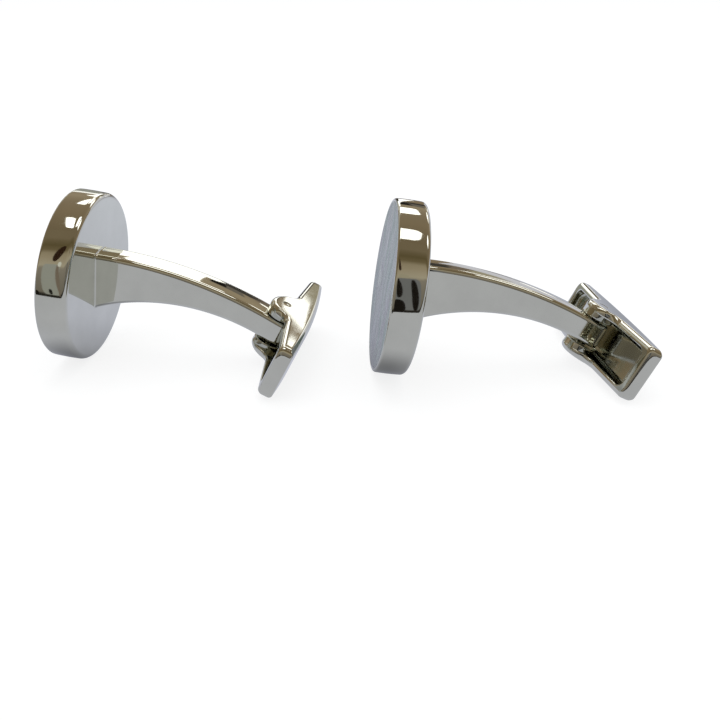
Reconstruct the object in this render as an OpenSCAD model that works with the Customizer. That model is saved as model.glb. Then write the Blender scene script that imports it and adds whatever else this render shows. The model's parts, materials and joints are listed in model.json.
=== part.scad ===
// A pair of round whale-back cufflinks, standing as photographed.
// Each one is a head with a pearl inlay, a curved post and a hollow toggle
// that swings on a pin through the post's end, over a leaf spring.
// Units are millimetres. +X runs from head to toggle, +Y away from the
// viewer, +Z up, and the floor that they stand on is at zero.

/* [Head] */
// Diameter of the round head
head_d = 18; // [15:0.5:22]
// Thickness of the head, from its front edge to its rear face
head_t = 3.25; // [2.6:0.05:4.5]
// Rounding of the head's rear edge
head_edge_r = 0.35; // [0.15:0.05:0.6]
// Metal left round the inlay at the front edge
rim_lip = 0.35; // [0.2:0.05:0.8]
// Thickness of the pearl inlay
inlay_t = 1; // [0.6:0.1:1.4]
// Depth of the inlay's face below the front edge
inlay_sink = 0; // [0:0.01:0.1]
// Thickness of the adhesive bed behind the inlay
bed_t = 0.15; // [0.05:0.05:0.3]
// Radial gap of the inlay and its bed in the cup
inlay_gap = 0.03; // [0.01:0.01:0.06]

/* [Post] */
// Distance along the head's axis from its rear face to the pivot pin
post_len = 19.4; // [17:0.2:23]
// How far the pivot pin lies below the head's axis
pin_drop = 2.1; // [1.2:0.1:3]
// Turn of the post's end away from the head's axis, in degrees
bend = 19; // [12:1:24]
// Thickness of the post, across its flat faces
post_t = 3.2; // [2.6:0.1:3.4]
// Width of the post where it meets the head
post_root_w = 6.2; // [5:0.1:7]
// Width of the post half way along
post_mid_w = 3.55; // [3.2:0.05:3.8]
// How far the middle of the post rises above the head's axis
post_mid_rise = 0.58; // [0.4:0.02:0.8]
// Width of the post at the pin
post_end_w = 2.8; // [2.4:0.1:3]
// Rounding radius of the post's end about the pin
hub_r = 1.75; // [1.72:0.01:1.9]
// Width of the tenon that is brazed into the head
tenon_w = 3.6; // [2.4:0.1:4.4]
// Thickness of that tenon
tenon_t = 2; // [1.2:0.1:2.4]
// Gap round the tenon, filled by the braze
tenon_gap = 0.02; // [0.01:0.01:0.05]

/* [Pivot pin] */
// Diameter of the pivot pin
pin_d = 1; // [0.8:0.05:1.3]
// Radial running gap of the post on the pin
pin_run_gap = 0.03; // [0.02:0.01:0.06]
// Radial gap of the pin in the toggle's ears
pin_seat_gap = 0.01; // [0.01:0.01:0.02]
// Depth of the pin's ends below the toggle's sides
pin_sink = 0.04; // [0.02:0.01:0.1]

/* [Toggle] */
// Length of the toggle
toggle_len = 19.3; // [18:0.1:20]
// Width of the toggle, along the pin
toggle_w = 5.97; // [5.6:0.01:6.6]
// How much deeper the toggle is in the middle than at its ends
back_bow = 0.55; // [0.3:0.05:0.6]
// Distance from the pin to the open rim, at the ends
rim_end = 1.25; // [1:0.05:1.4]
// Distance from the pin to the open rim, beside the ears
rim_mid = 0.65; // [0.5:0.05:0.8]
// Radius of the ears' rounded tops
ear_r = 2.3; // [2.1:0.05:2.5]
// Height of the ears' tops beyond the pin
ear_top = 1.65; // [1.4:0.05:1.8]
// Fillet where the ears run into the rim
ear_fillet = 1.6; // [1.2:0.1:2]
// Thickness of the toggle's side walls
side_wall = 0.8; // [0.5:0.05:0.9]
// Thickness of the toggle's end walls
end_wall = 1; // [0.7:0.1:1.3]
// Thickness of the toggle's back
back_wall = 0.7; // [0.5:0.05:0.8]
// Rounding of the back's long edges
back_edge_r = 0.6; // [0.3:0.05:0.8]
// Rounding of the toggle's four upright corners
corner_r = 0.8; // [0.4:0.1:1.2]
// Rounding of the hollow's corners
hollow_r = 0.9; // [0.5:0.1:1.2]
// Least side gap between the post and the boss inside each ear
ear_gap = 0.05; // [0.02:0.01:0.1]

/* [Leaf spring] */
// Thickness of the leaf spring
spring_t = 0.25; // [0.15:0.05:0.3]
// Gap between the leaf spring's long edges and the hollow's side walls
spring_side_gap = 0.385; // [0.2:0.005:0.6]
// Gap between the leaf spring's ends and the hollow's end walls
spring_end_gap = 1.15; // [1:0.05:2]
// Free depth under the middle of the leaf spring
spring_room = 0.55; // [0.5:0.05:0.8]
// Gap between the leaf spring and the post's turning end
spring_gap = 0.05; // [0.03:0.01:0.08]
// Gap between the leaf spring and the bosses inside the ears
boss_gap = 0.05; // [0.04:0.01:0.1]
// Gap between the leaf spring's ends and the hollow's floor
spring_seat_gap = 0.01; // [0.01:0.01:0.03]

/* [Placing] */
// Place of the left head's rear face along X
left_x = -26.18; // [-34:0.01:-24]
// Place of the left head's rear face along Y
left_y = 1.72; // [-4:0.01:4]
// Turn of the left cufflink about the upright axis, in degrees
left_yaw = -6.2; // [-10:0.1:0]
// Place of the right head's rear face along X
right_x = 7.23; // [2:0.01:12]
// Place of the right head's rear face along Y
right_y = -1.89; // [-4:0.01:4]
// Turn of the right cufflink about the upright axis, in degrees
right_yaw = 2.5; // [0:0.1:6]
// How far the right toggle stands swung from closed, in degrees
right_swing = 5.6; // [0:0.1:10]

/* [Hidden] */
$fn = 96;
// Segments of the long, shallow arcs
long_fn = 360;
// Overrun of every cut past the metal it goes through
over = 0.5;

head_r = head_d / 2;
inlay_r = head_r - rim_lip - inlay_gap;
cup_depth = inlay_sink + inlay_t + bed_t;
floor_t = head_t - cup_depth;

// Directions at the pin, in the post's side plane: along the post and across
run_dir = [cos(bend), -sin(bend)];
wide_dir = [sin(bend), cos(bend)];
pin_at = [post_len, -pin_drop];

// The post's two long edges are arcs through three points
upper_pts = [[0, post_root_w / 2],
    [post_len / 2, post_mid_rise + post_mid_w / 2],
    pin_at + wide_dir * post_end_w / 2];
lower_pts = [[0, -post_root_w / 2],
    [post_len / 2, post_mid_rise - post_mid_w / 2],
    pin_at - wide_dir * post_end_w / 2];

// Centre of the circle through three points
function centre3(p) =
    let (a = p[1] - p[0], b = p[2] - p[0],
        k = 2 * (a.x * b.y - a.y * b.x), aa = a * a, bb = b * b)
    p[0] + [b.y * aa - a.y * bb, a.x * bb - b.x * aa] / k;
upper_c = centre3(upper_pts);
lower_c = centre3(lower_pts);
upper_r = norm(upper_pts[0] - upper_c);
lower_r = norm(lower_pts[0] - lower_c);

// The toggle is as deep as the post's end and the spring under it need.
// Its back is an arc, in the toggle's own length and depth
spring_top = hub_r + spring_gap;
spring_low = spring_top + spring_t;
back_mid = spring_low + spring_room + back_wall;
back_end = back_mid - back_bow;
back_r = (pow(toggle_len / 2, 2) + pow(back_bow, 2)) / (2 * back_bow);
back_cy = back_mid - back_r;
floor_r = back_r - back_wall;
hollow_w = toggle_w - 2 * side_wall;
hollow_len = toggle_len - 2 * end_wall;

// Bosses: just clear of the spring, and of the post where it widens
boss_r = spring_top - boss_gap;
function edge_at(c, r, run) =
    (c - pin_at) * wide_dir + sqrt(r * r - pow(run - (c - pin_at) * run_dir, 2));
slot_half = max(post_end_w / 2, edge_at(upper_c, upper_r, -boss_r),
    -edge_at(lower_c, lower_r, -boss_r)) + ear_gap;

// Ear: circle, and the fillet circle that touches it and the rim
ear_c = ear_r - ear_top;
fillet_y = rim_mid - ear_fillet;
fillet_x = sqrt(pow(ear_r + ear_fillet, 2) - pow(fillet_y - ear_c, 2));

// Leaf spring: a bow that stands highest over the middle
spring_len = hollow_len - 2 * spring_end_gap;
spring_w = hollow_w - 2 * spring_side_gap;
spring_end_y = back_cy + sqrt(pow(floor_r, 2) - pow(spring_len / 2, 2))
    - spring_seat_gap;
spring_bow = spring_end_y - spring_low;
spring_r = (pow(spring_len / 2, 2) + pow(spring_bow, 2)) / (2 * spring_bow);

// Standing: the head's rear edge and the toggle's lower back edge both
// touch the floor, and the toggle's long edge lies level
rest_d = back_mid - back_edge_r;
rest_w = toggle_w / 2 - back_edge_r;
function roll_for(swing, tilt) =
    let (up = sin(bend) * sin(swing), side = cos(swing))
    asin(-cos(bend) * sin(swing) * tan(tilt) / norm([up, side]))
    - atan2(up, side);
function tilt_for(swing, roll) =
    let (vx = post_len + rest_d * cos(bend) * cos(swing) - rest_w * sin(bend),
        vy = rest_d * sin(swing),
        vz = -pin_drop - rest_d * sin(bend) * cos(swing) - rest_w * cos(bend),
        a = vx + head_edge_r,
        b = -(vy * sin(roll) + vz * cos(roll)) - (head_r - head_edge_r))
    asin((head_edge_r - back_edge_r) / norm([a, b])) - atan2(b, a);
function lift_for(tilt) = (head_r - head_edge_r) * cos(tilt)
    + head_edge_r - head_edge_r * sin(tilt);

left_tilt = tilt_for(0, 0);
right_roll_try = roll_for(right_swing, left_tilt);
right_tilt_try = tilt_for(right_swing, right_roll_try);
right_roll = roll_for(right_swing, right_tilt_try);
right_tilt = tilt_for(right_swing, right_roll);

// Each cufflink's own frame: X along the head's axis, Z up its post's width
module place_left()
    translate([left_x, left_y, lift_for(left_tilt)])
        rotate([0, left_tilt, left_yaw]) children();

module place_right()
    translate([right_x, right_y, lift_for(right_tilt)])
        rotate([0, 0, right_yaw]) rotate([0, right_tilt, 0])
            rotate([right_roll, 0, 0]) children();

// Toggle frame: X along the toggle, Y away from the head, Z along the pin
module at_pin(swing)
    translate([pin_at.x, 0, pin_at.y]) rotate([0, bend, 0])
        rotate([0, 0, swing - 90]) children();

// Rectangle with four round corners, on its centre
module round_rect(size, r) {
    square([size.x - 2 * r, size.y], center = true);
    square([size.x, size.y - 2 * r], center = true);
    for (sx = [-1, 1], sy = [-1, 1])
        translate([sx * (size.x / 2 - r), sy * (size.y / 2 - r)]) circle(r = r);
}

// Head: a turned cup, open at the front, with a socket for the tenon
module head_cup() color([0.70, 0.72, 0.74]) difference() {
    rotate([0, -90, 0]) rotate_extrude() {
        difference() {
            translate([0, head_edge_r]) square([head_r, head_t - head_edge_r]);
            translate([0, floor_t])
                square([head_r - rim_lip, cup_depth + over]);
        }
        square([head_r - head_edge_r, head_edge_r]);
        translate([head_r - head_edge_r, head_edge_r]) circle(r = head_edge_r);
    }
    translate([-floor_t - over, -tenon_t / 2 - tenon_gap,
        -tenon_w / 2 - tenon_gap])
        cube([floor_t + 2 * over, tenon_t + 2 * tenon_gap,
            tenon_w + 2 * tenon_gap]);
}

// Thin disc of set adhesive on the cup's floor
module inlay_bed() color([0.86, 0.84, 0.76])
    translate([-floor_t - bed_t, 0, 0]) rotate([0, 90, 0])
        cylinder(r = inlay_r, h = bed_t);

// Disc of pearl shell, level with the front edge
module pearl_inlay() color([0.70, 0.80, 0.82])
    translate([-floor_t - bed_t - inlay_t, 0, 0]) rotate([0, 90, 0])
        cylinder(r = inlay_r, h = inlay_t);

// Side of the post, from the head to the line across the pin
module post_side() intersection() {
    difference() {
        translate(upper_c) circle(r = upper_r, $fn = long_fn);
        translate(lower_c) circle(r = lower_r, $fn = long_fn);
    }
    polygon([[0, -post_root_w], [0, post_root_w],
        pin_at + wide_dir * post_root_w, pin_at - wide_dir * post_root_w]);
}

module post() color([0.64, 0.65, 0.65]) difference() {
    union() {
        rotate([90, 0, 0]) linear_extrude(post_t, center = true) post_side();
        at_pin(0) intersection() {
            translate([-post_t / 2, -over, -post_end_w / 2])
                cube([post_t, post_t / 2 + over, post_end_w]);
            cylinder(r = hub_r, h = post_end_w, center = true);
        }
        translate([-floor_t, -tenon_t / 2, -tenon_w / 2])
            cube([floor_t + over, tenon_t, tenon_w]);
    }
    at_pin(0) cylinder(r = pin_d / 2 + pin_run_gap, h = post_root_w,
        center = true);
}

// Pin through the post's end, riveted in the toggle's ears
module pivot_pin() color([0.60, 0.61, 0.62])
    cylinder(d = pin_d, h = toggle_w - 2 * pin_sink, center = true);

// Side of the toggle: straight rim, ears on fillets, plain beyond the back
module toggle_side() {
    half = toggle_len / 2;
    polygon([[-half, rim_end], [-fillet_x, rim_mid], [fillet_x, rim_mid],
        [half, rim_end], [half, back_mid + over], [-half, back_mid + over]]);
    intersection() {
        translate([0, ear_c]) circle(r = ear_r);
        translate([-ear_r, -ear_top]) square([2 * ear_r, ear_top + back_end]);
    }
    difference() {
        polygon([[-fillet_x, rim_mid], [-fillet_x, fillet_y], [0, ear_c],
            [fillet_x, fillet_y], [fillet_x, rim_mid]]);
        for (sx = [-1, 1])
            translate([sx * fillet_x, fillet_y]) circle(r = ear_fillet);
    }
}

// The space under the curved back, with its long edges rounded
module back_ring(r, half_w, edge_r) translate([0, back_cy, 0])
    rotate_extrude($fn = long_fn) {
        translate([0, -half_w]) square([r - edge_r, 2 * half_w]);
        translate([0, edge_r - half_w]) square([r, 2 * (half_w - edge_r)]);
        for (sy = [-1, 1])
            translate([r - edge_r, sy * (half_w - edge_r)]) circle(r = edge_r);
    }

module toggle() color([0.66, 0.68, 0.70]) difference() {
    intersection() {
        linear_extrude(toggle_w, center = true) toggle_side();
        rotate([90, 0, 0]) linear_extrude(4 * toggle_w, center = true)
            round_rect([toggle_len, toggle_w], corner_r);
        back_ring(back_r, toggle_w / 2, back_edge_r);
    }
    difference() {
        intersection() {
            rotate([90, 0, 0]) linear_extrude(4 * toggle_w, center = true)
                round_rect([hollow_len, hollow_w], hollow_r);
            translate([0, back_cy, 0]) cylinder(r = floor_r,
                h = 2 * toggle_w, center = true, $fn = long_fn);
        }
        for (sz = [-1, 1]) translate([0, 0, sz * toggle_w / 2])
            cylinder(r = boss_r, h = toggle_w - 2 * slot_half, center = true);
    }
    cylinder(d = pin_d + 2 * pin_seat_gap, h = toggle_w + 2 * over,
        center = true);
}

// Bowed strip between the bosses and the hollow's floor
module leaf_spring() color([0.52, 0.52, 0.50])
    linear_extrude(spring_w, center = true) intersection() {
        translate([0, spring_top + spring_r]) difference() {
            circle(r = spring_r, $fn = long_fn);
            circle(r = spring_r - spring_t, $fn = long_fn);
        }
        translate([-spring_len / 2, spring_top])
            square([spring_len, spring_t + 2 * spring_bow]);
    }

module left_head_cup() place_left() head_cup();
module left_inlay_bed() place_left() inlay_bed();
module left_pearl_inlay() place_left() pearl_inlay();
module left_post() place_left() post();
module left_pivot_pin() place_left() at_pin(0) pivot_pin();
module left_toggle() place_left() at_pin(0) toggle();
module left_leaf_spring() place_left() at_pin(0) leaf_spring();

module right_head_cup() place_right() head_cup();
module right_inlay_bed() place_right() inlay_bed();
module right_pearl_inlay() place_right() pearl_inlay();
module right_post() place_right() post();
module right_pivot_pin() place_right() at_pin(right_swing) pivot_pin();
module right_toggle() place_right() at_pin(right_swing) toggle();
module right_leaf_spring() place_right() at_pin(right_swing) leaf_spring();

left_head_cup();
left_inlay_bed();
left_pearl_inlay();
left_post();
left_pivot_pin();
left_toggle();
left_leaf_spring();
right_head_cup();
right_inlay_bed();
right_pearl_inlay();
right_post();
right_pivot_pin();
right_toggle();
right_leaf_spring();
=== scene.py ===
"""A pair of polished whale-back cufflinks with pearl inlays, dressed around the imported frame.

Shapes are drawn in millimetres in each cufflink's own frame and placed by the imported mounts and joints.
"""
import json
import math

import bmesh
import bpy
import numpy as np
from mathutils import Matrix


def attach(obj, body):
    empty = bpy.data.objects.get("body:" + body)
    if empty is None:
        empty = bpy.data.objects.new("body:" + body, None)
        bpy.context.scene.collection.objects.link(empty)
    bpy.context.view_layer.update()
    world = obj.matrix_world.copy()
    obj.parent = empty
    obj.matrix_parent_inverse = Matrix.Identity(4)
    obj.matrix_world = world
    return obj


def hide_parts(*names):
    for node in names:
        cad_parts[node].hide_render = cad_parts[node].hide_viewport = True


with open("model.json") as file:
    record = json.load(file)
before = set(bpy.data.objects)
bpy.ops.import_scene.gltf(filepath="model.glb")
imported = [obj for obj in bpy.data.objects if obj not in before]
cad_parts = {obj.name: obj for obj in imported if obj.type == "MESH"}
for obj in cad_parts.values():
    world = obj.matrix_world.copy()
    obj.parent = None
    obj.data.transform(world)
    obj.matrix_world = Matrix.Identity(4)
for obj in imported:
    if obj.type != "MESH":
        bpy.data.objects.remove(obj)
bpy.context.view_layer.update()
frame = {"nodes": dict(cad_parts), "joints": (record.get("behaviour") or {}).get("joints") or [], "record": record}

MM = 0.001
SIDES = ("left", "right")

# Head, in millimetres
HEAD_D = 18.0
HEAD_T = 3.25
HEAD_EDGE_R = 0.55
FRONT_EDGE_R = 0.26
RIM_CROWN = 0.03
RIM_LIP = 0.35
INLAY_GAP = 0.03
INLAY_T = 1.0
INLAY_EDGE_R = 0.06
BED_T = 0.15
FACE_CENTRE_R = 0.5

# Post, in millimetres
POST_T = 3.2
POST_ROOT_W = 6.2
POST_MID_W = 3.55
POST_MID_RISE = 0.58
POST_END_W = 2.8
POST_EDGE_R = 0.45
POST_CROWN = 0.06
HUB_R = 1.75
BRAZE_R = 0.14
PIN_RUN_R = 0.53

# Toggle, in millimetres
TOGGLE_LEN = 19.3
TOGGLE_W = 5.97
BACK_MID = 3.3
BACK_BOW = 0.55
BACK_R = ((TOGGLE_LEN / 2) ** 2 + BACK_BOW ** 2) / (2 * BACK_BOW)
BACK_CY = BACK_MID - BACK_R
BACK_EDGE_R = 0.6
BACK_CENTRE_INSET = 0.78
BACK_WALL = 0.7
END_EDGE_R = 0.2
CORNER_R = 0.8
CORNER_R_LEAST = 0.02
RIM_END = 1.25
RIM_MID = 0.65
RIM_END_R = 0.36
RIM_SIDE_R = 0.55
RIM_INNER_R = 0.16
RIM_CORNER_R = 0.45
RIM_CHANGE_START = 1.3
RIM_CHANGE_LEN = 1.2
EAR_R = 2.3
EAR_TOP = 1.65
EAR_FILLET = 1.6
SIDE_WALL = 0.8
END_WALL = 1.0
HOLLOW_R = 0.9
HOLLOW_FILLET = 0.35

# What the toggle holds, in millimetres
BOSS_R = 1.75
BOSS_EDGE_R = 0.14
BOSS_ROOT = 0.2
BOSS_BELOW_RIM = 0.02
SLOT_HALF = 1.563
PIN_D = 1.0
PIN_SEAT_R = 0.51
PIN_SINK = 0.01
PIN_DOME = 0.02
SPRING_T = 0.25
SPRING_GAP = 0.05
SPRING_END_GAP = 1.15
SPRING_SIDE_GAP = 0.385
SPRING_SEAT_GAP = 0.01
SPRING_EDGE_R = 0.06

# A riveted pin's domed end, as (drop as a share of the dome, radius as a share of the pin's)
PIN_HEAD = ((0, 0.2), (0.25, 0.55), (0.6, 0.82), (1, 0.96), (1.5, 1))

# Loops that hold a flat face flat stand this far from its rounded edge
GUARD = 0.03

# Counts of rows and segments in the meshes
TURNED_SEGMENTS = 320
ROUND_SEGMENTS = 64
BOSS_SEGMENTS = 96
RIM_ROWS = 14
CROWN_ROWS = 5
POST_ROWS = 140
HUB_ROWS = 12
SPRING_ROWS = 80
PLAN_SIDE_ROWS = 86
PLAN_REST_ROWS = 4
PLAN_CORNER_STEPS = 9
PLAN_END_ROWS = 7
CARD_CORNER_STEPS = 8

# Points of a plan loop from the middle of a long side to the start of a short one
SIDE_COUNT = PLAN_SIDE_ROWS + PLAN_REST_ROWS - 1 + PLAN_CORNER_STEPS

# Rows on the toggle's outer and inner walls, as shares of the way from back to rim and from rim to floor
OUTER_WALL_ROWS = (0.03, 0.35, 0.65, 0.97)
INNER_WALL_ROWS = (0.04, 0.5, 0.96)

# Shading of flat and rounded faces
SHARP_DEG = 35.0
NORMAL_WEIGHT = 60

# Metals, as (material, darker tint, lighter tint, roughness range, strength of hairline marks)
METALS = {
    "head": ("head_polish", (0.665, 0.665, 0.588), (0.715, 0.715, 0.634), (0.03, 0.06), 0.012),
    "post": ("post_polish", (0.665, 0.665, 0.588), (0.715, 0.715, 0.632), (0.03, 0.06), 0.012),
    "toggle": ("toggle_polish", (0.665, 0.664, 0.590), (0.715, 0.714, 0.636), (0.03, 0.06), 0.012),
    "hollow": ("hollow_plate", (0.47, 0.48, 0.42), (0.62, 0.63, 0.55), (0.06, 0.14), 0.01),
    "pin": ("pin_polish", (0.64, 0.64, 0.57), (0.70, 0.70, 0.63), (0.03, 0.08), 0.04),
    "spring": ("spring_steel", (0.49, 0.50, 0.45), (0.63, 0.64, 0.57), (0.08, 0.16), 0.015),
}

# Tints of the pearl's bands and of the adhesive's grain, as (level of their noise, colour)
PEARL_TINTS = (
    (0.28, (0.15, 0.18, 0.18)),
    (0.41, (0.19, 0.26, 0.24)),
    (0.49, (0.27, 0.32, 0.31)),
    (0.57, (0.24, 0.24, 0.28)),
    (0.68, (0.38, 0.42, 0.40)),
)
BED_TINTS = (
    (0.35, (0.62, 0.58, 0.46)),
    (0.65, (0.78, 0.75, 0.63)),
)

# Camera, placed in metres and fitted to the photograph's outlines
CAMERA_AT = (0.00168, -0.08486, 0.04040)
CAMERA_DOWN_DEG = 25.553
CAMERA_CLIP = 0.001
FOCAL_PX = 854.5
PHOTO_PX = 720
SENSOR_MM = 36.0

# Light, in Blender's own units, and the floor, in metres
WORLD_LIGHT = 0.75
WORLD_TINT = (0.96, 0.98, 1, 1)
LAMP_WATTS = 0.6
LAMP_SIZE = (0.5, 0.4)
LAMP_AT = (0, 0.12, 0.45)
LAMP_TILT_DEG = -14
FLOOR_SIZE = 4.0
FLOOR_GREY = 0.9
FLOOR_GLOW = 1.14
FLOOR_GLOW_SHARE = 0.7

# The tent that the polished metal reflects, in metres
CEILING = 0.30
WALL_FOOT = -0.2
TENT_FRONT = -0.058
TENT_BACK = 0.76
TENT_SIDE = 0.9
SILL = 0.0275
WINDOW_CORNER = 0.022
CARD_GAP = 0.0001
PAPER_REACH = 1.5
PAPER_LIFT = 0.00005
PALE_PAPER_X = 0.120
PALE_PAPER_Y = 0.10

# Plain colours in the tent
OLIVE = (0.25, 0.19, 0.12)
BROWN = (0.20, 0.16, 0.125)
TAN = (0.38, 0.34, 0.25)
DUSK = (0.17, 0.15, 0.125)
STONE = (0.33, 0.335, 0.305)
SLATE = (0.175, 0.178, 0.185)
DARK_BROWN = (0.030, 0.014, 0.008)
NEAR_BLACK = (0.012, 0.010, 0.008)
PALE = (0.66, 0.66, 0.73)
WINDOW = (1.0, 0.995, 0.98)
TEAL = (0.12, 0.27, 0.22)
SHADOW = (0.055, 0.050, 0.045)
CREAM = (0.66, 0.66, 0.60)

# Painted shadow on the paper, as darker spots round the heads' feet and behind the pair: places and radii in
# metres
FOOT_SHADE_R = 0.0066
FOOT_SHADE_AHEAD = 0.0045
FOOT_SHADE = 0.45
HEAD_SHADE_R = 0.010
HEAD_SHADE = 0.72
TOGGLE_SHADE_AT = (0.047, 0.040)
TOGGLE_SHADE_R = 0.034
TOGGLE_SHADE = 0.58

# Tones of the paper and the ceiling along Y, and of the cloth before the pair along Z. The paper's tones are
# partly painted light: lighter just behind the pair, where the light falls, than in front of it
PAPER_TONES = (
    (-0.058, (0.51, 0.52, 0.57)),
    (-0.012, (0.51, 0.52, 0.58)),
    (0.006, (0.56, 0.58, 0.69)),
    (0.045, (0.66, 0.69, 0.80)),
    (0.090, (0.56, 0.57, 0.66)),
    (0.180, (0.29, 0.29, 0.31)),
    (0.500, (0.21, 0.16, 0.12)),
)
CEILING_TONES = (
    (-0.058, (0.19, 0.145, 0.088)),
    (0.100, (0.25, 0.19, 0.12)),
    (0.240, (0.27, 0.21, 0.14)),
    (0.450, (0.36, 0.29, 0.20)),
    (0.760, (0.30, 0.24, 0.17)),
)
CLOTH_TONES = (
    (0.000, (0.02, 0.018, 0.015)),
    (0.0035, (0.03, 0.027, 0.022)),
    (0.006, (0.18, 0.16, 0.13)),
    (0.040, (0.26, 0.23, 0.19)),
    (0.045, (0.42, 0.37, 0.28)),
    (0.060, (0.36, 0.30, 0.21)),
    (0.071, (0.32, 0.265, 0.18)),
    (0.082, (0.17, 0.13, 0.07)),
    (0.100, (0.125, 0.095, 0.045)),
    (0.150, (0.20, 0.155, 0.095)),
)

# Window panels in the ceiling: ranges of x, and of y over the pair and behind it
PANELS = ((-0.0915, -0.0705), (-0.045, 0.109), (0.166, 0.330))
PANEL_OVER = (-0.036, 0.046)
PANEL_BEHIND = (0.2207, 0.3767)
PANEL_SLANT = 0.18
PANEL_DROP = 0.002
PANEL_STRENGTH = 2.2
PANEL_CORNER_SHARE = 0.45

# Further cards below the ceiling, as (name, x range, y range, drop, colour, strength, corner)
CEILING_CARDS = (
    ("window_mid", (-0.085, 0.060), (0.410, 0.535), 0.0020, WINDOW, 2.0, 0.0),
    ("window_far", (-0.145, 0.060), (0.520, TENT_BACK), 0.0025, WINDOW, 2.0, WINDOW_CORNER),
    ("far_dusk", (0.074, 0.165), (0.540, TENT_BACK), 0.0020, DUSK, 1.0, 0.018),
    ("far_dark", (0.076, 0.116), (0.560, TENT_BACK), 0.0025, NEAR_BLACK, 1.0, 0.016),
    ("ceiling_cream", (-0.460, -0.190), (0.270, 0.460), 0.0020, CREAM, 0.85, 0.030),
    ("window_corner", (0.224, 0.259), (0.692, TENT_BACK), 0.0020, WINDOW, 2.0, 0.0),
    ("window_spot", (0.241, 0.254), (0.635, 0.662), 0.0020, WINDOW, 2.0, 0.006),
)

# Cards on the back wall, as (name, x range, z range, distance before it, colour, strength, corner)
BACK_CARDS = (
    ("back_left", (-TENT_SIDE, -0.450), (WALL_FOOT, CEILING), 0.0, OLIVE, 1.0, 0.0),
    ("back_teal", (-0.790, -0.630), (0.030, 0.130), 0.002, TEAL, 1.0, 0.030),
    ("back_stone", (-0.450, -0.180), (WALL_FOOT, 0.220), 0.0, STONE, 1.0, 0.0),
    ("back_high_left", (-0.450, -0.180), (0.220, CEILING), 0.0, WINDOW, 1.3, 0.0),
    ("back_window", (-0.180, 0.035), (0.210, CEILING), 0.0, WINDOW, 1.7, 0.0),
    ("back_shadow", (-0.180, 0.035), (WALL_FOOT, 0.210), 0.0, SHADOW, 1.0, 0.0),
    ("back_door", (0.035, 0.088), (SILL, CEILING), 0.0, WINDOW, 1.7, 0.0),
    ("back_sill", (0.035, 0.088), (WALL_FOOT, SILL), 0.0, DUSK, 1.0, 0.0),
    ("back_post", (0.088, 0.146), (WALL_FOOT, 0.215), 0.0, OLIVE, 1.0, 0.0),
    ("back_dark", (0.088, 0.190), (0.215, CEILING), 0.0, SHADOW, 1.0, 0.0),
    ("back_pale", (0.146, TENT_SIDE), (WALL_FOOT, 0.170), 0.0, PALE, 1.0, 0.0),
    ("back_lintel", (0.146, 0.190), (0.170, 0.215), 0.0, BROWN, 1.0, 0.0),
    ("back_bright", (0.270, 0.345), (-0.050, 0.035), 0.002, WINDOW, 1.6, 0.020),
    ("back_brown", (0.190, 0.232), (0.170, CEILING), 0.0, BROWN, 1.0, 0.0),
    ("back_tan", (0.232, 0.325), (0.170, CEILING), 0.0, TAN, 1.0, 0.0),
    ("back_high", (0.325, 0.408), (0.170, CEILING), 0.0, WINDOW, 1.3, 0.0),
    ("back_soft", (0.408, TENT_SIDE), (0.170, CEILING), 0.0, PALE, 1.0, 0.0),
)

# Things on the cloth before the pair, as (x range, z range, lean, share that is rounded, colour)
CLOTH_THINGS = (
    ((-0.0612, -0.0485), (0.0035, 0.047), 0.0, 0.35, STONE),
    ((0.0085, 0.0250), (0.0030, 0.042), 0.10, 0.30, SLATE),
    ((-0.0508, -0.0482), (0.002, 0.046), -0.03, 0.80, BROWN),
    ((-0.0566, -0.0543), (0.004, 0.011), 0.0, 0.80, NEAR_BLACK),
    ((-0.0760, -0.0645), (-0.001, 0.007), 0.0, 0.50, NEAR_BLACK),
    ((-0.0556, -0.0490), (0.052, 0.098), 0.05, 0.95, DARK_BROWN),
    ((-0.0500, -0.0476), (0.043, 0.052), 0.0, 0.90, CREAM),
    ((0.0060, 0.0138), (0.0005, 0.015), 0.0, 0.75, NEAR_BLACK),
    ((0.0092, 0.0144), (0.017, 0.041), 0.04, 0.90, NEAR_BLACK),
    ((0.0186, 0.0224), (0.003, 0.040), 0.10, 0.80, NEAR_BLACK),
    ((0.0130, 0.0190), (0.054, 0.088), 0.0, 0.90, DARK_BROWN),
    ((0.0140, 0.0205), (0.042, 0.048), 0.0, 0.80, TAN),
)


def unit(v):
    return v / np.linalg.norm(v)


def placing(side):
    """Where one cufflink is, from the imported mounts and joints.

    Gives the link's and the toggle's own frames as (3x3 columns, origin in metres), the pin's place in the
    link's frame in millimetres as (x, z), and the post's bend in radians.
    """
    mount = next(m for m in frame["record"]["mounts"] if m["name"] == side + "_front_face")
    joint = next(j for j in frame["joints"] if j["name"] == side + "_toggle_swing")
    x = -unit(np.array(mount["axis"], float))
    pin_dir = unit(np.array(joint["axis"], float))
    z = unit(pin_dir - x * (pin_dir @ x))
    y = np.cross(z, x)
    origin = np.array(mount["pos_m"], float) + x * HEAD_T * MM
    pin = np.array(joint["pos_m"], float)
    swing = -math.radians(sum(joint["range_deg"]) / 2)
    along = -y * math.cos(swing) + np.cross(y, pin_dir) * math.sin(swing)
    link = (np.column_stack([x, y, z]), origin)
    toggle = (np.column_stack([along, np.cross(pin_dir, along), pin_dir]), pin)
    local_pin = (pin - origin) / MM
    bend = math.asin(pin_dir @ x)
    return link, toggle, np.array([local_pin @ x, local_pin @ z]), bend


def add_piece(name, mesh, material, body, node):
    """A smooth-shaded piece that rides on a body and stands for one CAD node."""
    piece = bpy.data.objects.new(name, mesh)
    bpy.context.scene.collection.objects.link(piece)
    mesh.materials.append(material)
    for polygon in mesh.polygons:
        polygon.use_smooth = True
    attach(piece, body)
    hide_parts(node)
    return piece


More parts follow.
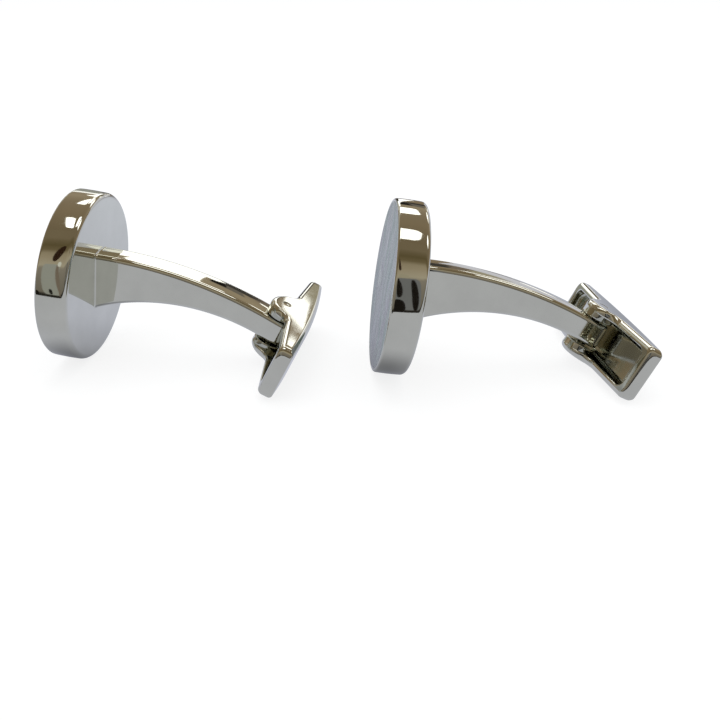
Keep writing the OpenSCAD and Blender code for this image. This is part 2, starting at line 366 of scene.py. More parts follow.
def shell_mesh(name, rings, ends="flat"):
    """Quads between rings of equal length. Its two ends are flat, a fan round their middle, or open."""
    mesh = bpy.data.meshes.new(name)
    bm = bmesh.new()
    rows = [[bm.verts.new(p) for p in ring] for ring in rings]
    count = len(rows[0])
    for a, b in zip(rows, rows[1:]):
        for i in range(count):
            j = (i + 1) % count
            bm.faces.new((a[i], a[j], b[j], b[i]))
    for row in (rows[0], rows[-1]):
        if ends == "fan":
            middle = bm.verts.new(np.mean([v.co for v in row], axis=0))
            for i in range(count):
                bm.faces.new((row[i], row[(i + 1) % count], middle))
        elif ends == "flat":
            bm.faces.new(row)
    bmesh.ops.recalc_face_normals(bm, faces=bm.faces)
    bm.to_mesh(mesh)
    bm.free()
    return mesh


def moved(mesh, turn, origin=(0, 0, 0), scale=1.0):
    """Scales, turns and shifts a mesh, and gives it back."""
    co = np.empty(3 * len(mesh.vertices))
    mesh.vertices.foreach_get("co", co)
    co = co.reshape(-1, 3) * scale @ np.array(turn, float).T + origin
    mesh.vertices.foreach_set("co", co.ravel())
    mesh.update()
    return mesh


def quarter_arc(steps):
    return np.linspace(0, math.pi / 2, steps + 1)


def smooth_step(t):
    return t * t * (3 - 2 * t)


def mirrored_loop(quarter, second, third, fourth):
    """A loop from its first quarter, with the signs that each further quarter takes in turn."""
    q = np.array(quarter)
    return np.vstack([q, (q * second)[::-1][1:], (q * third)[1:], (q * fourth)[::-1][1:-1]])


def turned_mesh(name, profile, segments=TURNED_SEGMENTS):
    """A turned shape. Its profile runs from axis to axis as (x, radius), with x along the turning axis."""
    angle = np.linspace(0, 2 * math.pi, segments, endpoint=False)
    rings = [np.column_stack([np.full(segments, x), r * np.cos(angle), r * np.sin(angle)])
             for x, r in profile]
    return shell_mesh(name, rings, ends="fan")


def corner_points(x_mid, r_mid, radius, start, end, steps):
    """Points round one turned corner, about (x_mid, r_mid), from start to end degrees."""
    angle = np.radians(np.linspace(start, end, steps + 1))
    return [(x_mid + radius * math.cos(a), r_mid + radius * math.sin(a)) for a in angle]


def head_mesh():
    """Turned cup: rear face, crowned rim, front lip, and the recess for the inlay."""
    head_r = HEAD_D / 2
    cup_r = head_r - RIM_LIP
    floor_x = -(HEAD_T - INLAY_T - BED_T)
    rear_r = head_r - RIM_CROWN - HEAD_EDGE_R
    lip_r = FRONT_EDGE_R
    profile = [(0, FACE_CENTRE_R), (0, head_r / 2), (0, rear_r - GUARD)]
    profile += corner_points(-HEAD_EDGE_R, rear_r, HEAD_EDGE_R, 0, 90, steps=10)
    span = np.linspace(-HEAD_EDGE_R, -HEAD_T + lip_r, RIM_ROWS)[1:-1]
    share = (span - span.mean()) / (HEAD_T - HEAD_EDGE_R - lip_r) * 2
    profile += list(zip(span, head_r - RIM_CROWN * share ** 2))
    profile += corner_points(-HEAD_T + lip_r, head_r - RIM_CROWN - lip_r, lip_r, 90, 180, steps=8)
    profile += [(-HEAD_T, cup_r), (floor_x, cup_r), (floor_x, FACE_CENTRE_R)]
    return turned_mesh("head", profile)


def pearl_mesh():
    """Turned disc with a softly rounded front edge."""
    pearl_r = HEAD_D / 2 - RIM_LIP - INLAY_GAP
    front, rear, edge = -HEAD_T, -HEAD_T + INLAY_T, INLAY_EDGE_R
    profile = [(front, FACE_CENTRE_R), (front, pearl_r / 2), (front, pearl_r - edge - GUARD)]
    profile += corner_points(front + edge, pearl_r - edge, edge, 180, 90, steps=4)
    profile += [(rear, pearl_r), (rear, FACE_CENTRE_R)]
    return turned_mesh("pearl", profile)


def circle_centre(a, b, c):
    """Centre of the circle through three points of a plane."""
    ab, ac = b - a, c - a
    k = 2 * (ab[0] * ac[1] - ab[1] * ac[0])
    return a + np.array([ac[1] * (ab @ ab) - ab[1] * (ac @ ac), ab[0] * (ac @ ac) - ac[0] * (ab @ ab)]) / k


def arc_points(a, b, c, count):
    """Evenly spaced points from a to c on the circle through a, b and c."""
    centre = circle_centre(a, b, c)
    start, end = (math.atan2(*(p - centre)[::-1]) for p in (a, c))
    angle = np.linspace(start, end, count)
    radius = np.linalg.norm(a - centre)
    return centre + radius * np.column_stack([np.cos(angle), np.sin(angle)])


def round_section(half_w, half_t, radius, steps, crown=0.0):
    """Rounded rectangle as (across, through) points, crowned by a little across its two narrow faces."""
    flat_t = half_t - radius - GUARD
    quarter = [(half_w - crown * share ** 2, flat_t * share) for share in np.linspace(0, 1, CROWN_ROWS)]
    half_w = half_w - crown
    for a in quarter_arc(steps):
        quarter.append((half_w - radius + radius * math.cos(a), half_t - radius + radius * math.sin(a)))
    quarter += [(half_w - radius - GUARD, half_t), (0.0, half_t)]
    return mirrored_loop(quarter, (-1, 1), (-1, -1), (1, -1))


def post_edge(pin_at, wide, sign):
    """The post's upper (1) or lower (-1) edge as seen from the side, as (x, z) points from head to pin."""
    up = np.array([0.0, 1.0]) * sign
    middle = np.array([pin_at[0] / 2, POST_MID_RISE])
    points = (up * POST_ROOT_W / 2, middle + up * POST_MID_W / 2, pin_at + wide * sign * POST_END_W / 2)
    return arc_points(*points, POST_ROWS)


def post_sections(pin_at, bend):
    """Sections along the post, as (centre, direction across, half width, half thickness)."""
    up = np.array([0.0, 1.0])
    wide = np.array([math.sin(bend), math.cos(bend)])
    run = np.array([math.cos(bend), -math.sin(bend)])
    sections = []
    for a in quarter_arc(steps=5):
        at = np.array([BRAZE_R * (1 - math.cos(a)), 0.0])
        flare = BRAZE_R * (1 - math.sin(a))
        sections.append((at, up, POST_ROOT_W / 2 + flare, POST_T / 2 + flare))
    for a, b in zip(post_edge(pin_at, wide, 1)[1:], post_edge(pin_at, wide, -1)[1:]):
        if (a + b)[0] / 2 > BRAZE_R:
            sections.append(((a + b) / 2, unit(a - b), np.linalg.norm(a - b) / 2, POST_T / 2))
    for d in np.linspace(0, POST_T / 2 - POST_EDGE_R, HUB_ROWS)[1:]:
        half_t = min(POST_T / 2, math.sqrt(HUB_R ** 2 - d ** 2))
        sections.append((pin_at + run * d, wide, POST_END_W / 2, half_t))
    return sections


def post_mesh(pin_at, bend):
    """The post, flared by its braze at the head and rounded off about the pin."""
    rings = []
    for centre, across, half_w, half_t in post_sections(pin_at, bend):
        flat = round_section(half_w, half_t, POST_EDGE_R, steps=5, crown=POST_CROWN)
        x = centre[0] + across[0] * flat[:, 0]
        z = centre[1] + across[1] * flat[:, 0]
        rings.append(np.column_stack([x, flat[:, 1], z]))
    return shell_mesh("post", rings)


def plan_loop(half_l, half_w, radius):
    """Rounded rectangle round the toggle's plan as (x, z), with the same count of points for every size."""
    side_end = TOGGLE_LEN / 2 - END_WALL - HOLLOW_R
    x = list(np.linspace(0, side_end, PLAN_SIDE_ROWS))
    x += list(np.linspace(side_end, half_l - radius, PLAN_REST_ROWS)[1:])
    quarter = [(v, half_w) for v in x]
    for a in quarter_arc(PLAN_CORNER_STEPS)[1:]:
        quarter.append((half_l - radius + radius * math.sin(a), half_w - radius + radius * math.cos(a)))
    quarter += [(half_l, z) for z in np.linspace(half_w - radius, 0, PLAN_END_ROWS)[1:]]
    return mirrored_loop(quarter, (1, -1), (-1, -1), (-1, 1))


def rim_y(x):
    """Height of the toggle's open edge along it: straight, then a fillet, then the ear's round top."""
    x = np.abs(x)
    half = TOGGLE_LEN / 2
    ear_c = EAR_R - EAR_TOP
    fillet_y = RIM_MID - EAR_FILLET
    fillet_x = math.sqrt((EAR_R + EAR_FILLET) ** 2 - (fillet_y - ear_c) ** 2)
    touch_x = fillet_x * EAR_R / (EAR_R + EAR_FILLET)
    straight = RIM_MID + (RIM_END - RIM_MID) * (x - fillet_x) / (half - fillet_x)
    fillet = fillet_y + np.sqrt(np.maximum(EAR_FILLET ** 2 - (x - fillet_x) ** 2, 0))
    ear = ear_c - np.sqrt(np.maximum(EAR_R ** 2 - x ** 2, 0))
    past = np.clip(x - half + RIM_CORNER_R, 0, RIM_CORNER_R)
    straight = straight + RIM_CORNER_R - np.sqrt(RIM_CORNER_R ** 2 - past ** 2)
    return np.where(x >= fillet_x, straight, np.where(x >= touch_x, fillet, ear))


def back_y(x, z):
    """The toggle's outer back: an arc along it, with its long edges rounded."""
    over_edge = np.maximum(np.abs(z) - (TOGGLE_W / 2 - BACK_EDGE_R), 0)
    radius = BACK_R - BACK_EDGE_R + np.sqrt(np.maximum(BACK_EDGE_R ** 2 - over_edge ** 2, 0))
    return BACK_CY + np.sqrt(radius ** 2 - x ** 2)


def floor_y(x):
    """The floor of the toggle's hollow, one wall in from its back."""
    return BACK_CY + np.sqrt((BACK_R - BACK_WALL) ** 2 - x ** 2)


def end_drop(x, inset):
    """Rounding of the back's edge at the toggle's two ends."""
    if inset >= END_EDGE_R:
        return 0 * x
    drop = END_EDGE_R - math.sqrt(END_EDGE_R ** 2 - (END_EDGE_R - inset) ** 2)
    return drop * smooth_step(np.clip((np.abs(x) - TOGGLE_LEN / 2 + CORNER_R) / CORNER_R, 0, 1))


def outer_loop(inset):
    """Loop of the toggle's outer wall as (x, z), drawn in by inset."""
    corner_r = max(CORNER_R - inset, CORNER_R_LEAST)
    return plan_loop(TOGGLE_LEN / 2 - inset, TOGGLE_W / 2 - inset, corner_r).T


def inner_loop(offset):
    """Loop of the hollow's wall as (x, z), grown by offset."""
    half_l, half_w = TOGGLE_LEN / 2 - END_WALL, TOGGLE_W / 2 - SIDE_WALL
    return plan_loop(half_l + offset, half_w + offset, HOLLOW_R + offset).T


def rim_edge(share, extra=0.0):
    """Loop on the rim's outer rounding, and its radius, which grows from the ends to the sides."""
    from_side = np.abs(outer_loop(0)[1]) - TOGGLE_W / 2
    side = smooth_step(np.clip((from_side + RIM_CHANGE_START) / RIM_CHANGE_LEN, 0, 1))
    radius = RIM_END_R + (RIM_SIDE_R - RIM_END_R) * side
    ends = outer_loop(RIM_END_R * share + extra)
    x, z = ends + (outer_loop(RIM_SIDE_R * share + extra) - ends) * side
    return x, z, radius


def back_rings():
    """Rings of the toggle's back, from its middle out over its rounded edges."""
    insets = [BACK_CENTRE_INSET, BACK_EDGE_R + GUARD]
    insets += [BACK_EDGE_R * (1 - math.cos(a)) for a in quarter_arc(steps=9)[::-1]]
    insets += [END_EDGE_R * (1 - math.cos(a)) for a in quarter_arc(steps=4)[1:-1]]
    rings = []
    for inset in sorted(set(insets), reverse=True):
        x, z = outer_loop(inset)
        rings.append((x, back_y(x, z) - end_drop(x, inset), z))
    return rings


def rim_rings(back_edge):
    """Rings up the outer wall from the back's edge, over the rim and into the hollow's mouth."""
    x, z, radius = rim_edge(0)
    high = rim_y(x) + radius
    rings = [(x, back_edge + (high - back_edge) * share, z) for share in OUTER_WALL_ROWS]
    for a in quarter_arc(steps=6):
        x, z, radius = rim_edge(1 - math.cos(a))
        rings.append((x, rim_y(x) + radius * (1 - math.sin(a)), z))
    x, z, radius = rim_edge(1, GUARD)
    rings.append((x, rim_y(x), z))
    x, z = inner_loop(RIM_INNER_R + GUARD)
    rings.append((x, rim_y(x), z))
    for a in quarter_arc(steps=5):
        x, z = inner_loop(RIM_INNER_R * (1 - math.sin(a)))
        rings.append((x, rim_y(x) + RIM_INNER_R * (1 - math.cos(a)), z))
    return rings


def hollow_rings(mouth):
    """Rings down the hollow's wall from its mouth and round the fillet to its floor."""
    x, low, z = mouth
    high = floor_y(x) - HOLLOW_FILLET
    rings = [(x, low + (high - low) * share, z) for share in INNER_WALL_ROWS]
    for a in quarter_arc(steps=6):
        x, z = inner_loop(-HOLLOW_FILLET * (1 - math.cos(a)))
        rings.append((x, floor_y(x) - HOLLOW_FILLET * (1 - math.sin(a)), z))
    return rings


def toggle_shell():
    """The toggle as one hollow bar with two ears, before its bosses and pin seats are made."""
    rings = back_rings()
    rings += rim_rings(rings[-1][1])
    rings += hollow_rings(rings[-1])
    return across_filled([np.column_stack(ring) for ring in rings])


def across_filled(rings):
    """Shell whose first and last ring are filled by strips straight across the toggle."""
    mesh = shell_mesh("toggle", rings, ends="open")
    bm = bmesh.new()
    bm.from_mesh(mesh)
    bm.verts.ensure_lookup_table()
    count = len(rings[0])
    half = count // 2
    for start in (0, (len(rings) - 1) * count):
        row = bm.verts[start:start + count]
        for first in (0, half):
            near = [row[(first + i) % count] for i in range(SIDE_COUNT)]
            far = [row[(first + half - i) % count] for i in range(SIDE_COUNT)]
            for i in range(SIDE_COUNT - 2):
                bm.faces.new((near[i], near[i + 1], far[i + 1], far[i]))
            end = [row[(first + i) % count] for i in range(SIDE_COUNT - 2, half - SIDE_COUNT + 3)]
            bm.faces.new(end)
    bmesh.ops.recalc_face_normals(bm, faces=bm.faces)
    bm.to_mesh(mesh)
    bm.free()
    return mesh


def boss_mesh(sign):
    """Thickening inside an ear: a disc about the pin, cut to the ear's outline."""
    base = TOGGLE_W / 2 - SIDE_WALL + BOSS_ROOT
    angle = np.linspace(0, 2 * math.pi, BOSS_SEGMENTS, endpoint=False)
    levels = [(base, 0.0), (SLOT_HALF + BOSS_EDGE_R, 0.0)]
    for a in quarter_arc(steps=4)[1:]:
        levels.append((SLOT_HALF + BOSS_EDGE_R * (1 - math.sin(a)), BOSS_EDGE_R * (1 - math.cos(a))))
    rings = []
    for z, inset in levels:
        radius = BOSS_R - inset
        x = radius * np.cos(angle)
        y = np.maximum(radius * np.sin(angle), rim_y(x) + BOSS_BELOW_RIM + inset)
        rings.append(np.column_stack([x, y, np.full(BOSS_SEGMENTS, sign * z)]))
    return shell_mesh("boss", rings)


def bore_mesh(radius, half_len):
    """A plain rod along Z that cuts a bore."""
    angle = np.linspace(0, 2 * math.pi, ROUND_SEGMENTS, endpoint=False)
    ring = np.column_stack([radius * np.cos(angle), radius * np.sin(angle)])
    rings = [np.column_stack([ring, np.full(ROUND_SEGMENTS, z)]) for z in (-half_len, half_len)]
    return shell_mesh("bore", rings)


def combined(base, tools):
    """base with each (operation, mesh) applied by an exact boolean, as a new mesh without materials."""
    scene = bpy.context.scene
    made = [bpy.data.objects.new("base", base)]
    scene.collection.objects.link(made[0])
    for operation, mesh in tools:
        tool = bpy.data.objects.new("tool", mesh)
        scene.collection.objects.link(tool)
        made.append(tool)
        modifier = made[0].modifiers.new(operation, "BOOLEAN")
        modifier.operation = operation
        modifier.solver = "EXACT"
        modifier.object = tool
    graph = bpy.context.evaluated_depsgraph_get()
    result = bpy.data.meshes.new_from_object(made[0].evaluated_get(graph))
    result.materials.clear()
    for thing in made:
        bpy.data.objects.remove(thing)
    return result


def keep_flat(piece):
    """Sharp edges stay sharp and large faces keep their own direction in the shading."""
    piece.data.set_sharp_from_angle(angle=math.radians(SHARP_DEG))
    weighted = piece.modifiers.new("weighted_normals", "WEIGHTED_NORMAL")
    weighted.keep_sharp = True
    weighted.weight = NORMAL_WEIGHT


def bored_post(pin_at, bend):
    """The post with the bore for its pin."""
    turn = [[math.cos(bend), 0, math.sin(bend)], [0, 1, 0], [-math.sin(bend), 0, math.cos(bend)]]
    bore = moved(bore_mesh(PIN_RUN_R, POST_ROOT_W), turn, (pin_at[0], 0, pin_at[1]))
    return combined(post_mesh(pin_at, bend), [("DIFFERENCE", bore)])


def bored_toggle():
    """The toggle with its bosses and the pin's seats. Its hollow takes the second material."""
    mesh = combined(toggle_shell(), [
        ("UNION", boss_mesh(-1)),
        ("UNION", boss_mesh(1)),
        ("DIFFERENCE", bore_mesh(PIN_SEAT_R, TOGGLE_W))])
    half_l, half_w = TOGGLE_LEN / 2 - END_WALL, TOGGLE_W / 2 - SIDE_WALL
    for polygon in mesh.polygons:
        x, y, z = polygon.center
        within = abs(x) < half_l + GUARD and abs(z) < half_w + GUARD
        below_rim = y > float(rim_y(np.array(x))) + RIM_INNER_R + GUARD
        above_back = y < float(back_y(x, z)) - BACK_WALL / 2
        polygon.material_index = int(within and below_rim and above_back)
    return mesh


def pin_mesh():
    """Pin with slightly domed, riveted ends, along its own Z."""
    half_len = TOGGLE_W / 2 - PIN_SINK
    ends = [(half_len - PIN_DOME * drop, PIN_D / 2 * share) for drop, share in PIN_HEAD]
    profile = ends + [(-x, r) for x, r in ends[::-1]]
    return moved(turned_mesh("pin", profile, ROUND_SEGMENTS), [[0, 1, 0], [0, 0, 1], [1, 0, 0]])


def spring_mesh():
    """Bowed strip that lies between the post's end and the hollow's floor."""
    half = TOGGLE_LEN / 2 - END_WALL - SPRING_END_GAP
    half_w = TOGGLE_W / 2 - SIDE_WALL - SPRING_SIDE_GAP
    top = HUB_R + SPRING_GAP
    bow = float(floor_y(np.array(half))) - SPRING_SEAT_GAP - top - SPRING_T
    radius = (half ** 2 + bow ** 2) / (2 * bow)
    flat = round_section(half_w, SPRING_T / 2, SPRING_EDGE_R, steps=3)
    rings = []
    for x in np.linspace(-half, half, SPRING_ROWS):
        y = top + SPRING_T / 2 + radius - math.sqrt(radius ** 2 - x ** 2)
        rings.append(np.column_stack([np.full(len(flat), x), y + flat[:, 1], flat[:, 0]]))
    return shell_mesh("spring", rings)


class Nodes:
    """A small builder for the nodes of one material or world."""

    def __init__(self, owner):
        owner.use_nodes = True
        self.owner = owner
        self.tree = owner.node_tree

    def first(self, kind):
        return next(node for node in self.tree.nodes if node.type == kind)

    def add(self, kind, values=None, **settings):
        node = self.tree.nodes.new(kind)
        for key, value in settings.items():
            setattr(node, key, value)
        self.fill(node, values or {})
        return node

    def fill(self, node, values):
        for key, value in values.items():
            node.inputs[key].default_value = value

    def link(self, a, out, b, into):
        self.tree.links.new(a.outputs[out], b.inputs[into])

    def coords(self, stretch=(1, 1, 1)):
        """Object coordinates in millimetres, stretched along each axis."""
        source = self.add("ShaderNodeTexCoord")
        mapping = self.add("ShaderNodeMapping", {"Scale": [s / MM for s in stretch]})
        self.link(source, "Object", mapping, "Vector")
        return mapping

    def noise(self, coords, scale, detail, rough=0.5):
        node = self.add("ShaderNodeTexNoise", {"Scale": scale, "Detail": detail, "Roughness": rough})
        self.link(coords, "Vector", node, "Vector")
        return node

    def spread(self, source, out, low, high, start=0.3, end=0.7):
        """Maps a socket's range from start to end onto the range from low to high."""
        ranges = {"From Min": start, "From Max": end, "To Min": low, "To Max": high}
        node = self.add("ShaderNodeMapRange", ranges)
        self.link(source, out, node, "Value")
        return node

    def ramp(self, source, out, stops):
        node = self.add("ShaderNodeValToRGB")
        ramp = node.color_ramp
        while len(ramp.elements) < len(stops):
            ramp.elements.new(0.5)
        for element, (at, colour) in zip(ramp.elements, stops):
            element.position = at
            element.color = (*colour, 1)
        self.link(source, out, node, "Fac")
        return node

    def bump(self, source, out, strength, distance_mm):
        node = self.add("ShaderNodeBump", {"Strength": strength, "Distance": distance_mm * MM})
        self.link(source, out, node, "Height")
        self.link(node, "Normal", self.first("BSDF_PRINCIPLED"), "Normal")


def surface(name):
    """Nodes of a new material, with its main shader."""
    n = Nodes(bpy.data.materials.new(name))
    return n, n.first("BSDF_PRINCIPLED")


def polished_metal(name, low, high, rough, marks):
    """Plated metal, polished: faint cloudy tint, hazy spots and hairline marks."""
    n, shader = surface(name)
    n.fill(shader, {"Metallic": 1.0})
    place_mm = n.coords()
    cloud = n.noise(place_mm, scale=0.35, detail=4)
    tint = n.ramp(cloud, "Fac", ((0.3, low), (0.7, high)))
    n.link(tint, "Color", shader, "Base Color")
    haze = n.noise(place_mm, scale=0.9, detail=5, rough=0.6)
    n.link(n.spread(haze, "Fac", *rough), "Result", shader, "Roughness")
    hair = n.noise(n.coords(stretch=(0.6, 9, 9)), scale=1.2, detail=2)
    n.bump(hair, "Fac", strength=marks, distance_mm=0.02)
    return n.owner


def pearl_shell(name):
    """Mother-of-pearl: grey with long soft bands that lean to teal and lilac, softly polished."""
    n, shader = surface(name)
    n.fill(shader, {"IOR": 1.5, "Specular IOR Level": 0.3})
    bands = n.noise(n.coords(stretch=(1.6, 0.75, 0.16)), scale=0.55, detail=5, rough=0.55)
    n.fill(bands, {"Distortion": 0.9})
    n.link(n.ramp(bands, "Fac", PEARL_TINTS), "Color", shader, "Base Color")
    fine = n.noise(n.coords(stretch=(1.4, 1.4, 0.3)), scale=1.2, detail=4)
    n.link(n.spread(fine, "Fac", low=0.2, high=0.34), "Result", shader, "Roughness")
    n.bump(bands, "Fac", strength=0.15, distance_mm=0.05)
    return n.owner


def set_adhesive(name):
    """Cured adhesive: cream, dull and slightly grained."""
    n, shader = surface(name)
    grain = n.noise(n.coords(), scale=2.0, detail=4)
    n.link(n.ramp(grain, "Fac", BED_TINTS), "Color", shader, "Base Color")
    n.link(n.spread(grain, "Fac", low=0.45, high=0.65), "Result", shader, "Roughness")
    n.bump(grain, "Fac", strength=0.3, distance_mm=0.03)
    return n.owner


def seen_by_eye_and_mirror(n, seen, shed, out):
    """Gives out one shader for camera, glossy and transmission rays and another for all other rays."""
    path = n.add("ShaderNodeLightPath")
    last, socket = path, "Is Camera Ray"
    for kind in ("Is Glossy Ray", "Is Transmission Ray"):
        either = n.add("ShaderNodeMath", operation="MAXIMUM")
        n.link(last, socket, either, 0)
        n.link(path, kind, either, 1)
        last, socket = either, 0
    mix = n.add("ShaderNodeMixShader")
    n.link(last, socket, mix, "Fac")
    n.link(shed, 0, mix, 1)
    n.link(seen, 0, mix, 2)
    n.link(mix, 0, out, "Surface")


def white_world():
    """White to the eye and in polished surfaces, and a softer light on everything else."""
    world = bpy.data.worlds.new("studio")
    bpy.context.scene.world = world
    n = Nodes(world)
    seen = n.first("BACKGROUND")
    n.fill(seen, {"Color": (1, 1, 1, 1), "Strength": 1.0})
    shed = n.add("ShaderNodeBackground", {"Color": WORLD_TINT, "Strength": WORLD_LIGHT})
    seen_by_eye_and_mirror(n, seen, shed, n.first("OUTPUT_WORLD"))


def white_floor():
    """Pale paper that keeps a soft shadow, lifted to white where no shadow falls."""
    bpy.ops.mesh.primitive_plane_add(size=FLOOR_SIZE, location=(0, 0, 0))
    floor = bpy.context.object
    floor.name = "floor"
    n, shader = surface("floor_white")
    grey = (FLOOR_GREY, FLOOR_GREY, FLOOR_GREY, 1)
    n.fill(shader, {"Base Color": grey, "Roughness": 1.0, "Specular IOR Level": 0.0})
    glow = n.add("ShaderNodeEmission", {"Strength": FLOOR_GLOW})
    lit = n.add("ShaderNodeMixShader", {"Fac": FLOOR_GLOW_SHARE})
    n.link(shader, 0, lit, 1)
    n.link(glow, 0, lit, 2)
    seen_by_eye_and_mirror(n, lit, shader, n.first("OUTPUT_MATERIAL"))
    floor.data.materials.append(n.owner)


def plain_glow(name, colour, strength):
    """A material that only shines, in one colour."""
    n = Nodes(bpy.data.materials.new(name))
    n.tree.nodes.clear()
    glow = n.add("ShaderNodeEmission", {"Color": (*colour, 1), "Strength": strength})
    n.link(glow, 0, n.add("ShaderNodeOutputMaterial"), "Surface")
    return n.owner


def card(name, centre, across, up, size, colour, strength=1.0, corner=0.0):
    """A flat card seen in polished surfaces and nowhere else. A pair as corner makes its corners oval."""
    half_w, half_h = size[0] / 2, size[1] / 2
    round_w, round_h = np.broadcast_to(corner, 2)
    steps = CARD_CORNER_STEPS if round_w else 0
    flat = []
    for sx, sy, start in ((1, 1, 0), (-1, 1, 90), (-1, -1, 180), (1, -1, 270)):
        for step in range(steps + 1):
            a = math.radians(start + 90 * step / CARD_CORNER_STEPS)
            x, y = sx * (half_w - round_w), sy * (half_h - round_h)
            flat.append((x + round_w * math.cos(a), y + round_h * math.sin(a)))
    across, up, centre = (np.array(v, float) for v in (across, up, centre))
    mesh = bpy.data.meshes.new(name)
    mesh.from_pydata([tuple(centre + across * x + up * y) for x, y in flat], [], [range(len(flat))])
    mesh.materials.append(plain_glow(name, colour, strength))
    thing = bpy.data.objects.new(name, mesh)
    bpy.context.scene.collection.objects.link(thing)
    thing.visible_camera = False
    thing.visible_diffuse = False
    thing.visible_shadow = False
    thing.visible_transmission = False
    thing.visible_volume_scatter = False
    return thing


def flat_card(name, x, y, z, colour, strength=1.0, corner=0.0, lean=0.0):
    """Level card over the ranges x and y."""
    centre, size = (sum(x) / 2, sum(y) / 2, z), (x[1] - x[0], y[1] - y[0])
    return card(name, centre, (1, lean, 0), (0, 1, 0), size, colour, strength, corner)


def wall_card(name, x, y, z, colour, strength=1.0, corner=0.0, lean=0.0):
    """Upright card that faces along Y, over the ranges x and z."""
    centre, size = (sum(x) / 2, y, sum(z) / 2), (x[1] - x[0], z[1] - z[0])
    return card(name, centre, (1, 0, 0), (lean, 0, 1), size, colour, strength, corner)


def side_card(name, x, y, z, colour):
    """Upright card that faces along X, over the ranges y and z."""
    return card(name, (x, sum(y) / 2, sum(z) / 2), (0, 1, 0), (0, 0, 1), (y[1] - y[0], z[1] - z[0]), colour)


def toned(thing, axis, tones):
    """Colours a card by ranges along one of its object axes, from (place in metres, colour) stops."""
    n = Nodes(thing.data.materials[0])
    glow = n.first("EMISSION")
    place_m = n.add("ShaderNodeTexCoord")
    split = n.add("ShaderNodeSeparateXYZ")
    n.link(place_m, "Object", split, 0)
    first, last = tones[0][0], tones[-1][0]
    span = n.spread(split, axis, 0.0, 1.0, first, last)
    ramp = n.ramp(span, "Result", [((at - first) / (last - first), colour) for at, colour in tones])
    n.link(ramp, "Color", glow, "Color")
    return n, place_m, glow


def painted_paper_shadows():
    """Painted shadows on the paper, as darker spots given by (centre, radius, share of light left at the centre).
    """
    spots = [(TOGGLE_SHADE_AT, TOGGLE_SHADE_R, TOGGLE_SHADE)]
    for side in SIDES:
        turn, origin = placing(side)[0]
        foot = origin - (turn[:, 0] * HEAD_T + turn[:, 2] * HEAD_D) / 2 * MM
        spots.append(((foot[0], foot[1] - FOOT_SHADE_AHEAD), FOOT_SHADE_R, FOOT_SHADE))
        spots.append(((foot[0], foot[1]), HEAD_SHADE_R, HEAD_SHADE))
    return spots


def grey_paper():
    """What polished metal sees below it: grey paper, with painted shadow in darker spots round the heads' feet and
    behind.
    """
    reach = (-PAPER_REACH, PAPER_REACH)
    thing = flat_card("grey_paper", reach, (TENT_FRONT, PAPER_REACH), PAPER_LIFT, (1, 1, 1))
    n, place_m, glow = toned(thing, "Y", PAPER_TONES)
    last, socket = None, None
    # Each spot is painted shadow: the paper's glow is turned down towards its centre.
    for centre, radius, share in painted_paper_shadows():
        far = n.add("ShaderNodeVectorMath", {1: (*centre, 0)}, operation="DISTANCE")
        n.link(place_m, "Object", far, 0)
        shade = n.add("ShaderNodeMapRange", {"From Max": radius, "To Min": share},
                      interpolation_type="SMOOTHSTEP")
        n.link(far, "Value", shade, "Value")
        if last is None:
            last, socket = shade, "Result"
            continue
        both = n.add("ShaderNodeMath", operation="MULTIPLY")
        n.link(last, socket, both, 0)
        n.link(shade, "Result", both, 1)
        last, socket = both, 0
    n.link(last, socket, glow, "Strength")


def tent_ceiling():
    """Olive cloth above, with rows of windows over the pair and behind it."""
    ceiling = flat_card("ceiling", (-TENT_SIDE, TENT_SIDE), (TENT_FRONT, TENT_BACK), CEILING, OLIVE)
    toned(ceiling, "Y", CEILING_TONES)
    below = CEILING - PANEL_DROP
    for k, x in enumerate(PANELS):
        corner = min(WINDOW_CORNER, (x[1] - x[0]) * PANEL_CORNER_SHARE)
        shift = sum(x) / 2 * PANEL_SLANT
        behind = (PANEL_BEHIND[0] + shift, PANEL_BEHIND[1] + shift)
        flat_card("window_over_%d" % k, x, PANEL_OVER, below, WINDOW, PANEL_STRENGTH, corner)
        flat_card("window_behind_%d" % k, x, behind, below, WINDOW, PANEL_STRENGTH, corner, PANEL_SLANT)
    for name, x, y, drop, colour, strength, corner in CEILING_CARDS:
        flat_card(name, x, y, CEILING - drop, colour, strength, corner)


def tent_walls():
    """The back wall's windows and darker things, pale paper to the right, and olive cloth on both sides."""
    for name, x, z, ahead, colour, strength, corner in BACK_CARDS:
        wall_card(name, x, TENT_BACK - ahead, z, colour, strength, corner)
    flat_card("paper_right", (PALE_PAPER_X, TENT_SIDE), (PALE_PAPER_Y, TENT_BACK), 2 * PAPER_LIFT, PALE)
    side_card("side_left", -TENT_SIDE, (TENT_FRONT, TENT_BACK), (WALL_FOOT, CEILING), OLIVE)
    side_card("side_right", TENT_SIDE, (TENT_FRONT, TENT_BACK), (WALL_FOOT, CEILING), OLIVE)


def tent_front():
    """Toned cloth before the pair, with stone, slate and dark things on it."""
    cloth = wall_card("front_cloth", (-TENT_SIDE, TENT_SIDE), TENT_FRONT, (0, CEILING), TAN)
    toned(cloth, "Z", CLOTH_TONES)
    for k, (x, z, lean, rounded, colour) in enumerate(CLOTH_THINGS):
        corner = (rounded * (x[1] - x[0]) / 2, rounded * (z[1] - z[0]) / 2)
        wall_card("cloth_thing_%d" % k, x, TENT_FRONT + CARD_GAP * (k + 1), z, colour, 1.0, corner, lean)


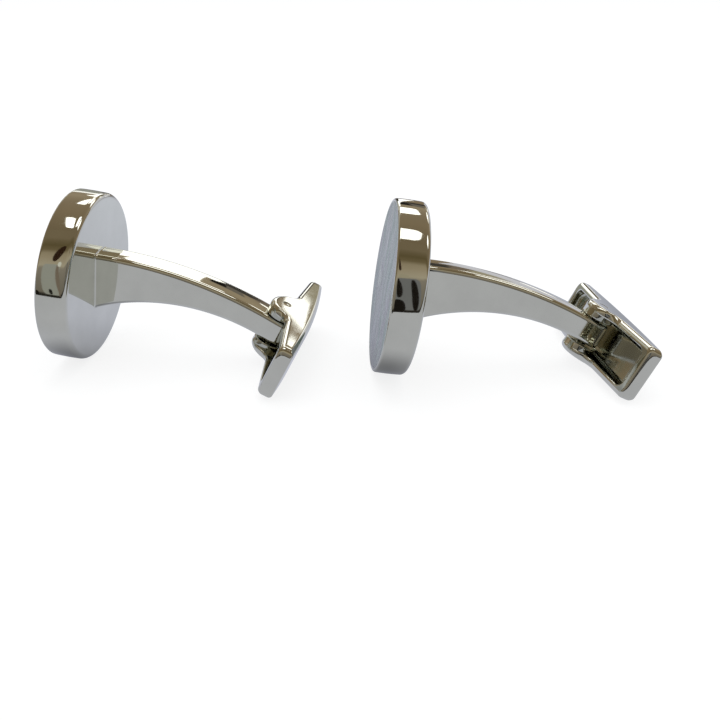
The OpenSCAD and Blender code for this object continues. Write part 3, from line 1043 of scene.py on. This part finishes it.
def soft_lamp():
    """One broad lamp above that lights the scene and shows in no reflection."""
    data = bpy.data.lights.new("soft_lamp", "AREA")
    data.shape = "RECTANGLE"
    data.size, data.size_y = LAMP_SIZE
    data.energy = LAMP_WATTS
    lamp = bpy.data.objects.new("soft_lamp", data)
    bpy.context.scene.collection.objects.link(lamp)
    lamp.location = LAMP_AT
    lamp.rotation_euler = (math.radians(LAMP_TILT_DEG), 0, 0)
    lamp.visible_glossy = False


def camera():
    data = bpy.data.cameras.new("camera")
    data.sensor_width = SENSOR_MM
    data.lens = FOCAL_PX * SENSOR_MM / PHOTO_PX
    data.clip_start = CAMERA_CLIP
    thing = bpy.data.objects.new("camera", data)
    bpy.context.scene.collection.objects.link(thing)
    thing.location = CAMERA_AT
    thing.rotation_euler = (math.radians(90 - CAMERA_DOWN_DEG), 0, 0)
    bpy.context.scene.camera = thing


def cufflink(side, finish):
    """One cufflink's pieces, and the finish of the hidden bed, which keeps its CAD shape."""
    link, toggle, pin_at, bend = placing(side)
    body, arm = side + "_link", side + "_toggle_group"

    def dress(label, mesh, where, material, rides_on, node):
        name = "%s_%s" % (side, label)
        return add_piece(name, moved(mesh, *where, MM), finish[material], rides_on, side + "_" + node)

    dress("head_shell", head_mesh(), link, "head", body, "head_cup")
    dress("pearl_face", pearl_mesh(), link, "pearl", body, "pearl_inlay")
    keep_flat(dress("post_bar", bored_post(pin_at, bend), link, "post", body, "post"))
    bar = dress("toggle_bar", bored_toggle(), toggle, "toggle", arm, "toggle")
    bar.data.materials.append(finish["hollow"])
    keep_flat(bar)
    dress("pivot_rivet", pin_mesh(), toggle, "pin", arm, "pivot_pin")
    dress("spring_strip", spring_mesh(), toggle, "spring", arm, "leaf_spring")
    bed = frame["nodes"][side + "_inlay_bed"]
    bed.data.materials.clear()
    bed.data.materials.append(finish["bed"])


finish = {key: polished_metal(*metal) for key, metal in METALS.items()}
finish["pearl"] = pearl_shell("pearl_shell")
finish["bed"] = set_adhesive("set_adhesive")
for side in SIDES:
    cufflink(side, finish)

camera()
white_world()
white_floor()
grey_paper()
tent_ceiling()
tent_walls()
tent_front()
soft_lamp()
bpy.context.scene.view_settings.view_transform = "Standard"
